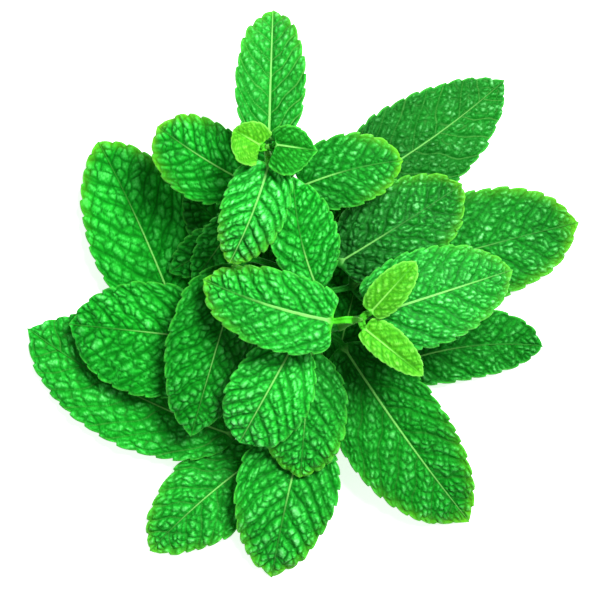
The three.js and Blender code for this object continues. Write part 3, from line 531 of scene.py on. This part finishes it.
def leafPiece(name, leaf, seed):
    # a blade with its stalk: one closed skin. Each ring across the path is a thin lens, its upper
    # line the smooth form plus the relief and its lower line that less the thickness and the rib.
    f = leafSkin
    rng = np.random.default_rng(seed)
    base, tip = np.array(leaf["base"], float), np.array(leaf["tip"], float)
    right = unit(np.array([tip[1] - base[1], base[0] - tip[0], 0.0]))
    bow = (base + tip) / 2 + upward * 2 * leaf["arch"] + right * 2 * leaf["sweep"]
    rows = int(np.linalg.norm(tip - base) / f["rowStep"])
    tau = (np.arange(rows) + 0.5) / (rows + 0.5)
    t = f["even"] * tau + f["bunched"] * tau * tau * (3 - 2 * tau)
    rib = bezier([base, bow, tip], t)
    path = stalkPath(leaf, base, unit(bow - base), np.linspace(0, 1, stalk["rows"]))[:-1]
    stalkRows = len(path)
    path = np.vstack([path, rib])
    t = np.concatenate([np.zeros(stalkRows), t])
    q = np.concatenate([np.linspace(0, 1, stalkRows), np.ones(rows)])
    tangent = unit(np.gradient(path, axis=0))
    side, normal = crossFrames(tangent, leaf["roll"] * q)

    columns = int(leaf["width"] / f["columnStep"]) | 1
    s = np.linspace(-1, 1, columns)
    v = s - f["crowded"] * np.sin(2 * np.pi * s)
    shape = np.where(t > 0, outline(leaf, np.maximum(t, 1e-6)), 0)
    flare = np.where(t > 0, 1, 1 + stalk["flare"] - stalk["flare"] * q)
    neck = stalk["half"] * np.clip(1 - t / stalk["endsAt"], 0, 1) * flare
    halves = [np.maximum(leaf["width"] / 2 * shape * (1 + k * leaf["skew"]), neck) for k in (-1, 1)]
    x = np.concatenate([[0], np.cumsum(np.linalg.norm(np.diff(path, axis=0), axis=1))])
    x = x - x[stalkRows]
    length = x[-1]
    blade = smooth(t, 0.0, f["bladeFrom"])
    back = leaf["lobe"] * (t / f["lobeAt"]) * np.exp(1 - t / f["lobeAt"])

    teeth = []
    for half in halves:
        moveX, moveY = np.zeros(len(t)), np.zeros(len(t))
        moveX[stalkRows:], moveY[stalkRows:] = margin(leaf, (x - back)[stalkRows:], half[stalkRows:], rng)
        teeth.append((moveX, moveY))

    isRight = v[None, :] > 0
    half = np.where(isRight, halves[1][:, None], halves[0][:, None])
    inward = (1 - np.abs(v))[None, :] * half  # distance in from the margin
    reach = np.exp(-(inward / f["toothReach"]) ** 2) * np.abs(v)[None, :] ** f["toothPower"]
    moveX, moveY = (np.where(isRight, teeth[1][n][:, None], teeth[0][n][:, None]) * reach for n in (0, 1))
    across = half * v[None, :] + moveY * np.sign(v)[None, :]
    forward = moveX - back[:, None] * np.abs(v)[None, :]
    flatX = x[:, None] + forward

    height, *surface = relief(leaf, flatX, across, length, rng, seed * 7 + 1)
    nearest = surface[0]
    body = blade[:, None] * smooth(half, f["bareHalf"], f["fullHalf"])
    calm = f["calmLow"] + f["calmGain"] * smooth(inward, f["calmFrom"], f["calmTo"])
    height = height * body * calm
    ribHalf = (f["ribHalf"] - f["ribTaper"] * np.clip(t, 0, 1))[:, None]
    trough = np.exp(-(across / (ribHalf * f["troughWide"])) ** 2) * body
    ridge = np.exp(-(across / (ribHalf * f["ridgeWide"])) ** 2)
    height = height * (1 - trough) - f["troughDeep"] * trough + f["ridgeHigh"] * ridge * body
    phase = rng.uniform(0, fullTurn, 4)
    ripple = np.where(isRight, np.sin(flatX * fullTurn / leaf["waveLength"] + phase[0]),
                      np.sin(flatX * fullTurn / leaf["waveLength"] * f["waveUneven"] + phase[1]))
    sway = leaf["wave"] * ripple * v[None, :] ** 2 * body * smooth(half, f["waveFrom"], f["waveTo"])
    smoothLift = np.abs(across) * np.sin(np.radians(leaf["fold"])) * blade[:, None]
    smoothLift = smoothLift - leaf["curl"] * v[None, :] ** 2 * shape[:, None] + sway

    lens = (1 - np.abs(v)[None, :] ** (f["stalkLens"] + f["bladeLens"] * blade[:, None])) ** 0.5
    dip = stalk["channel"] * np.exp(-(across / stalk["channelWide"]) ** 2) * (1 - blade[:, None])
    upper = smoothLift + height + lens * (stalk["above"] * (1 - blade[:, None])
                                          + leaf["thickness"] / 2 * blade[:, None]) - dip
    keel = leaf["ribDepth"] * (1 - f["keelLoss"] * t[:, None] ** f["keelPower"])
    keel = keel * np.exp(-(across / (ribHalf * f["keelWide"])) ** 2)
    veinBelow = f["veinBelow"] * np.exp(-(nearest / f["veinBelowWide"]) ** 2) * body * calm
    under = smoothLift + height * f["underRelief"] - lens * (
        stalk["below"] * (1 - blade[:, None]) + (leaf["thickness"] / 2 + keel + veinBelow) * blade[:, None])

    def place(lift):
        return (path[:, None, :] + side[:, None, :] * (across * np.cos(np.radians(leaf["fold"])))[..., None]
                + normal[:, None, :] * lift[..., None] + tangent[:, None, :] * forward[..., None])

    def allRound(above, beneath):
        # the upper line from one margin to the other, then the lower line back between them
        return np.concatenate([above, beneath[:, columns - 2:0:-1]], 1)

    flat = np.stack([flatX, across], -1)
    form, look, more = leafColours(leaf, t, blade, body, flatX / length, across, inward, height, surface)
    below = look.copy()
    below[..., 2] = -1  # in the foot's place, this marks the underside
    colours = {"form": allRound(form, form), "look": allRound(look, below), "more": allRound(more, more)}
    rings = allRound(place(upper), place(under))
    piece = ringMesh(name, rings, path[0], tip, allRound(flat, flat), colours)
    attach(piece, "root")
    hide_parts(name)
    return piece


def stemPiece(name, stem, leavesOn):
    # a rounded square carried along the joints: half the width over (|cos|^n + |sin|^n)^(1/n),
    # hollowed a little in the middle of each side and swollen at the joints
    f = stemUsual
    joints = stem["joints"]
    s = np.linspace(0, 1, (len(joints) - 1) * f["stepsPerJoint"] + 1)
    path = catmullRom(joints, s)
    tangent = unit(np.gradient(path, axis=0))
    side, normal = crossFrames(tangent, 0 * s)
    half = f["tipHalf"] + (stem["half"] - f["tipHalf"]) * (1 - s * s)
    nodes = catmullRom(joints, np.array(sorted({leaf["joint"] for leaf in leavesOn})) / (len(joints) - 1))
    toNode = np.linalg.norm(path[:, None] - nodes[None], axis=2).min(1)
    half = half * (1 + f["swell"] * np.exp(-(toNode / f["swellReach"]) ** 2))
    angle = np.linspace(0, 2 * np.pi, f["around"] + 1)[:-1]
    c, d = np.cos(angle), np.sin(angle)
    n = f["squareness"]
    radius = 1 / (np.abs(c) ** n + np.abs(d) ** n) ** (1 / n)
    radius = radius * (1 - f["hollow"] * np.maximum(0, np.cos(4 * angle)) ** 2)
    ring = side[:, None] * (radius * c)[None, :, None] + normal[:, None] * (radius * d)[None, :, None]

    def cap(end, shrink, step):
        # rings of the same outline at one end: each smaller by shrink and moved along by step
        turned = ring[end] * half[end] * np.array(shrink)[:, None, None]
        return path[end] + turned + (tangent[end] * np.array(step)[:, None])[:, None]

    # both ends close over a rounded edge; the lower end is the flat cut with a sunken pith
    body = path[:, None] + ring * half[:, None, None]
    rings = [cap(0, f["cutShrink"], f["cutSunk"]), body, cap(-1, f["tipShrink"], f["tipRise"])]
    rings = np.concatenate(rings)
    capRows = len(f["cutShrink"])
    length = np.concatenate([[0], np.cumsum(np.linalg.norm(np.diff(path, axis=0), axis=1))])
    length = np.concatenate([np.zeros(capRows), length, np.full(capRows, length[-1])])
    turn = np.arange(f["around"]) / f["around"] * f["patternTurn"]
    joint = np.concatenate([np.zeros(capRows), np.exp(-(toNode / f["paleReach"]) ** 2), np.zeros(capRows)])
    cut = np.concatenate([np.ones(capRows), np.zeros(len(rings) - capRows)])
    flat = np.stack(np.broadcast_arrays(length[:, None], turn[None, :]), -1)
    # form: nearness to a corner of the square, nearness to a joint, the cut end
    corner = np.maximum(0, -np.cos(4 * angle))[None, :]
    form = np.stack(np.broadcast_arrays(corner, joint[:, None], cut[:, None], 1.0), -1)
    cutPoint = path[0] + tangent[0] * f["cutMiddle"]
    tipPoint = path[-1] + tangent[-1] * f["tipMiddle"]
    piece = ringMesh(name, rings, cutPoint, tipPoint, flat, {"form": form})
    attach(piece, "root")
    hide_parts(name)
    return piece


# The colours of grown and of young leaves. deep serves random blotches and painted shade; glint is a
# painted highlight; stalk is a painted shade for stalks, brightStalk their colour out of the shade
leafFinish = dict(
    deep=(0.0005, 0.060, 0.002), mid=(0.004, 0.260, 0.010), bright=(0.038, 0.600, 0.060),
    glint=(0.380, 0.860, 0.420), vein=(0.200, 0.600, 0.120), gold=(0.150, 0.560, 0.012),
    under=(0.070, 0.380, 0.060), edge=(0.070, 0.560, 0.045), stalk=(0.004, 0.120, 0.004),
    brightStalk=(0.050, 0.480, 0.010), roughness=(0.30, 0.62))
youngFinish = dict(
    deep=(0.030, 0.240, 0.006), mid=(0.100, 0.520, 0.012), bright=(0.220, 0.740, 0.050),
    glint=(0.420, 0.880, 0.260), vein=(0.220, 0.640, 0.080), gold=(0.300, 0.680, 0.030),
    under=(0.180, 0.540, 0.110), edge=(0.220, 0.740, 0.080), stalk=(0.050, 0.380, 0.012),
    brightStalk=(0.050, 0.480, 0.010), roughness=(0.32, 0.55))

# How a leaf's finish is put together: scales of the patterns, weights of what makes a spot bright, which is
# painted light from the height and the pebbles with the mottle and each cell's own shade, and the values
# between which each colour comes in
leafMix = dict(
    blotchScale=90.0, mottleScale=1100.0, grainScale=2600.0,
    lit=0.8, mottle=0.5, shade=0.25, pebble=0.3,
    brightFrom=0.7, brightTo=1.3, glintFrom=0.92, glintTo=1.4, blotchFrom=0.38, blotchTo=0.68,
    blotch=0.35, crease=0.95, groove=0.85, underside=0.75, paleKeeps=0.7, paleTone=0.1,
    threadFrom=0.55, threadTo=0.95, thread=0.35, veinFrom=0.5, veinTo=0.9, vein=0.6,
    ribFrom=0.7, ribTo=1.15, besideFrom=1.0, besideTo=2.2, beside=0.5,
    glossTop=0.6, glossMottle=0.7, glossFrom=0.3, glossTo=1.1,
    lumpMottle=0.7, lumpGrain=0.3, bump=0.75, bumpHigh=0.0005,
    specular=0.5, white=0.06, whiteShine=0.28, blue=1.15)

stemFinish = dict(
    mid=(0.030, 0.240, 0.010), pale=(0.090, 0.400, 0.030), purple=(0.040, 0.110, 0.012),
    pith=(0.520, 0.640, 0.320), roughness=(0.36, 0.55),
    stretch=(0.12, 3.0, 1.0), streakScale=1.6, blotchScale=160.0, fineScale=1800.0,
    streakFrom=0.35, streakTo=0.7, blotchFrom=0.52, blotchTo=0.75, blotch=0.55, corner=0.4, joint=0.5,
    roughFrom=0.3, roughTo=0.7, lumpStreak=0.7, lumpFine=0.3, bump=0.3, bumpHigh=0.0003)


class Nodes:
    # short ways to add shader nodes and link them
    def __init__(self, name):
        self.material = bpy.data.materials.new(name)
        self.material.use_nodes = True
        self.tree = self.material.node_tree
        self.shader = self.tree.nodes["Principled BSDF"]

    def add(self, kind, inputs=None, **settings):
        node = self.tree.nodes.new(kind)
        for key, value in settings.items():
            setattr(node, key, value)
        for key, value in (inputs or {}).items():
            self.put(value, node.inputs[key])
        return node

    def put(self, value, socket):
        if isinstance(value, bpy.types.NodeSocket):
            self.tree.links.new(value, socket)
        elif socket.type == "RGBA":
            socket.default_value = (*value, 1.0)
        else:
            socket.default_value = value

    def mix(self, share, a, b):
        node = self.add("ShaderNodeMix", {0: share, 6: a, 7: b}, data_type="RGBA")
        return node.outputs[2]

    def math(self, operation, a, b=0.0):
        return self.add("ShaderNodeMath", {0: a, 1: b}, operation=operation).outputs[0]

    def weigh(self, *pairs):
        # the sum of each value times its weight
        parts = [self.math("MULTIPLY", value, weight) for value, weight in pairs]
        total = parts[0]
        for part in parts[1:]:
            total = self.math("ADD", total, part)
        return total

    def span(self, value, low, high, toLow=0.0, toHigh=1.0):
        node = self.add("ShaderNodeMapRange", {"Value": value, "From Min": low, "From Max": high,
                                               "To Min": toLow, "To Max": toHigh})
        return node.outputs["Result"]

    def noise(self, scale, detail, vector, roughness=0.5):
        node = self.add("ShaderNodeTexNoise", {"Vector": vector, "Scale": scale, "Detail": detail,
                                               "Roughness": roughness})
        return node.outputs["Fac"]

    def parts(self, attribute):
        node = self.add("ShaderNodeAttribute", attribute_name=attribute)
        split = self.add("ShaderNodeSeparateColor", {"Color": node.outputs["Color"]})
        return (*split.outputs, node.outputs["Alpha"])

    def bump(self, height, strength, distance):
        node = self.add("ShaderNodeBump", {"Height": height, "Strength": strength, "Distance": distance})
        self.put(node.outputs["Normal"], self.shader.inputs["Normal"])


def leafMaterial(name, finish, leaf):
    f = leafMix
    n = Nodes(name)
    place = n.add("ShaderNodeTexCoord").outputs["Object"]
    groove, crease, midline, top = n.parts("form")
    edge, golden, foot, ribFade = n.parts("look")
    shade, onStalk, pebble, lit = n.parts("more")
    # each leaf's own tone together with its painted light and shade scales all three greens
    deep, mid, bright = (tuple(c * leaf["toneAndPaintedLight"] for c in finish[key]) for key in ("deep", "mid", "bright"))
    blotch = n.noise(f["blotchScale"], 2.0, place)
    mottle = n.noise(f["mottleScale"], 3.0, place, 0.65)
    # the blade: painted light where it is high, painted glints of a paler colour at the tops of cells,
    # painted shade of deep green in the creases
    # painted light from the height and the pebbles, mixed with the mottle and each cell's own shade
    toneAndPaintedLight = n.weigh((lit, f["lit"]), (mottle, f["mottle"]), (shade, f["shade"]), (pebble, f["pebble"]))
    colour = n.mix(n.span(toneAndPaintedLight, f["brightFrom"], f["brightTo"]), mid, bright)
    # painted highlight: a pale glint colour on the tops of cells where the tone is high
    glint = n.math("MULTIPLY", n.span(toneAndPaintedLight, f["glintFrom"], f["glintTo"]),
                   n.math("MULTIPLY", top, leaf["paintedGlintAndShine"]))
    colour = n.mix(glint, colour, finish["glint"])
    colour = n.mix(n.span(blotch, f["blotchFrom"], f["blotchTo"], 0.0, f["blotch"]), colour, deep)
    pale = leaf["paleVeins"]
    vein = tuple(c * min(1.0, leaf["toneAndPaintedLight"] + f["paleTone"]) for c in finish["vein"])
    # painted shade in the creases and vein grooves, less where the veins are pale
    colour = n.mix(n.math("MULTIPLY", crease, f["crease"] * (1 - f["paleKeeps"] * pale)), colour, deep)
    colour = n.mix(n.math("MULTIPLY", groove, f["groove"] * (1 - pale)), colour, deep)
    if pale > 0:
        thread = n.math("MULTIPLY", n.span(crease, f["threadFrom"], f["threadTo"]), f["thread"] * pale)
        paleGroove = n.math("MULTIPLY", n.span(groove, f["veinFrom"], f["veinTo"]), f["vein"] * pale)
        colour = n.mix(n.math("MAXIMUM", thread, paleGroove), colour, vein)
    # foot, darkened partly with painted shade, margin, tip and underside
    colour = n.mix(n.math("MAXIMUM", foot, 0.0), colour, deep)
    colour = n.mix(n.math("MULTIPLY", edge, leaf["edgePale"]), colour, finish["edge"])
    colour = n.mix(golden, colour, finish["gold"])
    under = n.math("LESS_THAN", foot, -0.5)
    colour = n.mix(n.math("MULTIPLY", under, f["underside"]), colour, finish["under"])
    # the pale midrib between two dark lines of painted shade from its trough, and the stalk
    across = n.math("ABSOLUTE", midline)
    colour = n.mix(n.span(across, f["besideFrom"], f["besideTo"], f["beside"], 0.0), colour, deep)
    line = n.math("SUBTRACT", 1.0, n.span(across, f["ribFrom"], f["ribTo"]))
    colour = n.mix(n.math("MULTIPLY", line, ribFade), colour, vein)
    # the stalk: its dark colour is painted shade, moved towards its bright colour for stalks out of the
    # shade
    colour = n.mix(onStalk, colour, blend(finish["stalk"], finish["brightStalk"], leaf["stalkOutOfShade"]))
    n.put(colour, n.shader.inputs["Base Color"])
    low, high = finish["roughness"]
    gloss = n.weigh((top, f["glossTop"]), (mottle, f["glossMottle"]))
    n.put(n.span(gloss, f["glossFrom"], f["glossTo"], high, low), n.shader.inputs["Roughness"])
    grain = n.noise(f["grainScale"], 2.0, place, 0.6)
    n.bump(n.weigh((mottle, f["lumpMottle"]), (grain, f["lumpGrain"])), f["bump"], f["bumpHigh"])
    n.shader.inputs["Specular IOR Level"].default_value = f["specular"]
    white = f["white"] + f["whiteShine"] * leaf["paintedGlintAndShine"] ** 2
    n.shader.inputs["Specular Tint"].default_value = (white, 1.0, white * f["blue"], 1)
    return n.material


def stemMaterial(name, finish):
    f = finish
    n = Nodes(name)
    place = n.add("ShaderNodeTexCoord").outputs["Object"]
    flat = n.add("ShaderNodeUVMap", uv_map="flat").outputs["UV"]
    corner, joint, cut, _ = n.parts("form")
    stretch = n.add("ShaderNodeMapping", {"Vector": flat, "Scale": f["stretch"]}).outputs["Vector"]
    streak = n.noise(f["streakScale"], 3.0, stretch, 0.6)
    blotch = n.noise(f["blotchScale"], 2.0, place)
    colour = n.mix(n.span(streak, f["streakFrom"], f["streakTo"]), f["mid"], f["pale"])
    colour = n.mix(n.math("MULTIPLY", corner, f["corner"]), colour, f["pale"])
    colour = n.mix(n.span(blotch, f["blotchFrom"], f["blotchTo"], 0.0, f["blotch"]), colour, f["purple"])
    colour = n.mix(n.math("MULTIPLY", joint, f["joint"]), colour, f["pale"])
    colour = n.mix(cut, colour, f["pith"])
    n.put(colour, n.shader.inputs["Base Color"])
    low, high = f["roughness"]
    n.put(n.span(streak, f["roughFrom"], f["roughTo"], low, high), n.shader.inputs["Roughness"])
    fine = n.noise(f["fineScale"], 2.0, place)
    n.bump(n.weigh((streak, f["lumpStreak"]), (fine, f["lumpFine"])), f["bump"], f["bumpHigh"])
    return n.material


stemSkin = stemMaterial("stemSkin", stemFinish)
for name, stem in stems.items():
    piece = stemPiece(name, stem, [leaf for leaf in leaves.values() if leaf["on"] == name])
    piece.data.materials.append(stemSkin)
print("stems made:", len(stems))

firstSeed = 11
for seed, (name, entry) in enumerate(leaves.items(), firstSeed):
    leaf = {**leafUsual, **(leafYoung if "_small_" in name else {}), **entry}
    piece = leafPiece(name, leaf, seed)
    finish = leafFinish
    if leaf["youth"] > 0:
        finish = {key: blend(leafFinish[key], youngFinish[key], leaf["youth"]) for key in leafFinish}
    piece.data.materials.append(leafMaterial("skin_" + name, finish, leaf))
print("leaves made:", len(leaves))

# Table, light and camera: metres, but the eye and the length of table in its view are in millimetres
studio = dict(
    floorHalf=2.5, floorColour=(0.90, 0.90, 0.90), floorGlow=0.72, floorRough=0.85, floorShine=0.1,
    fleckScale=300.0, fleckShade=0.985,
    keyFrom=(0.36, 0.36, 0.86), keyDistance=0.95, keySize=0.45, keyPower=18.5,
    skyColour=(0.96, 0.98, 1.0), skyStrength=0.34,
    eye=(-1.7, -2.4, 1200.0), viewLong=165.24, film=36.0, nearest=0.01, farthest=20.0)


def studioSetting(s):
    mesh = bpy.data.meshes.new("table")
    h = s["floorHalf"]
    mesh.from_pydata([(-h, -h, 0), (h, -h, 0), (h, h, 0), (-h, h, 0)], [], [(0, 1, 2, 3)])
    table = bpy.data.objects.new("table", mesh)
    bpy.context.scene.collection.objects.link(table)
    n = Nodes("tablePaper")
    place = n.add("ShaderNodeTexCoord").outputs["Object"]
    fleck = n.noise(s["fleckScale"], 2.0, place)
    shade = tuple(s["fleckShade"] * c for c in s["floorColour"])
    n.put(n.mix(fleck, s["floorColour"], shade), n.shader.inputs["Base Color"])
    n.shader.inputs["Roughness"].default_value = s["floorRough"]
    n.shader.inputs["Specular IOR Level"].default_value = s["floorShine"]
    n.shader.inputs["Emission Color"].default_value = (1, 1, 1, 1)
    n.shader.inputs["Emission Strength"].default_value = s["floorGlow"]
    mesh.materials.append(n.material)

    world = bpy.data.worlds.new("paleRoom")
    world.use_nodes = True
    sky = world.node_tree.nodes["Background"]
    sky.inputs["Color"].default_value = (*s["skyColour"], 1)
    sky.inputs["Strength"].default_value = s["skyStrength"]
    bpy.context.scene.world = world

    lamp = bpy.data.lights.new("key", "AREA")
    lamp.shape = "DISK"
    lamp.size = s["keySize"]
    lamp.energy = s["keyPower"]
    key = bpy.data.objects.new("key", lamp)
    key.location = unit(np.array(s["keyFrom"])) * s["keyDistance"]
    key.rotation_euler = (-key.location).to_track_quat("-Z", "Y").to_euler()
    bpy.context.scene.collection.objects.link(key)

    lens = bpy.data.cameras.new("camera")
    lens.sensor_width = s["film"]
    lens.lens = s["film"] * s["eye"][2] / s["viewLong"]
    lens.clip_start = s["nearest"]
    lens.clip_end = s["farthest"]
    camera = bpy.data.objects.new("camera", lens)
    camera.location = np.array(s["eye"]) * millimetre
    bpy.context.scene.collection.objects.link(camera)
    bpy.context.scene.camera = camera
    bpy.context.scene.view_settings.view_transform = "Standard"


studioSetting(studio)
print("studio set")
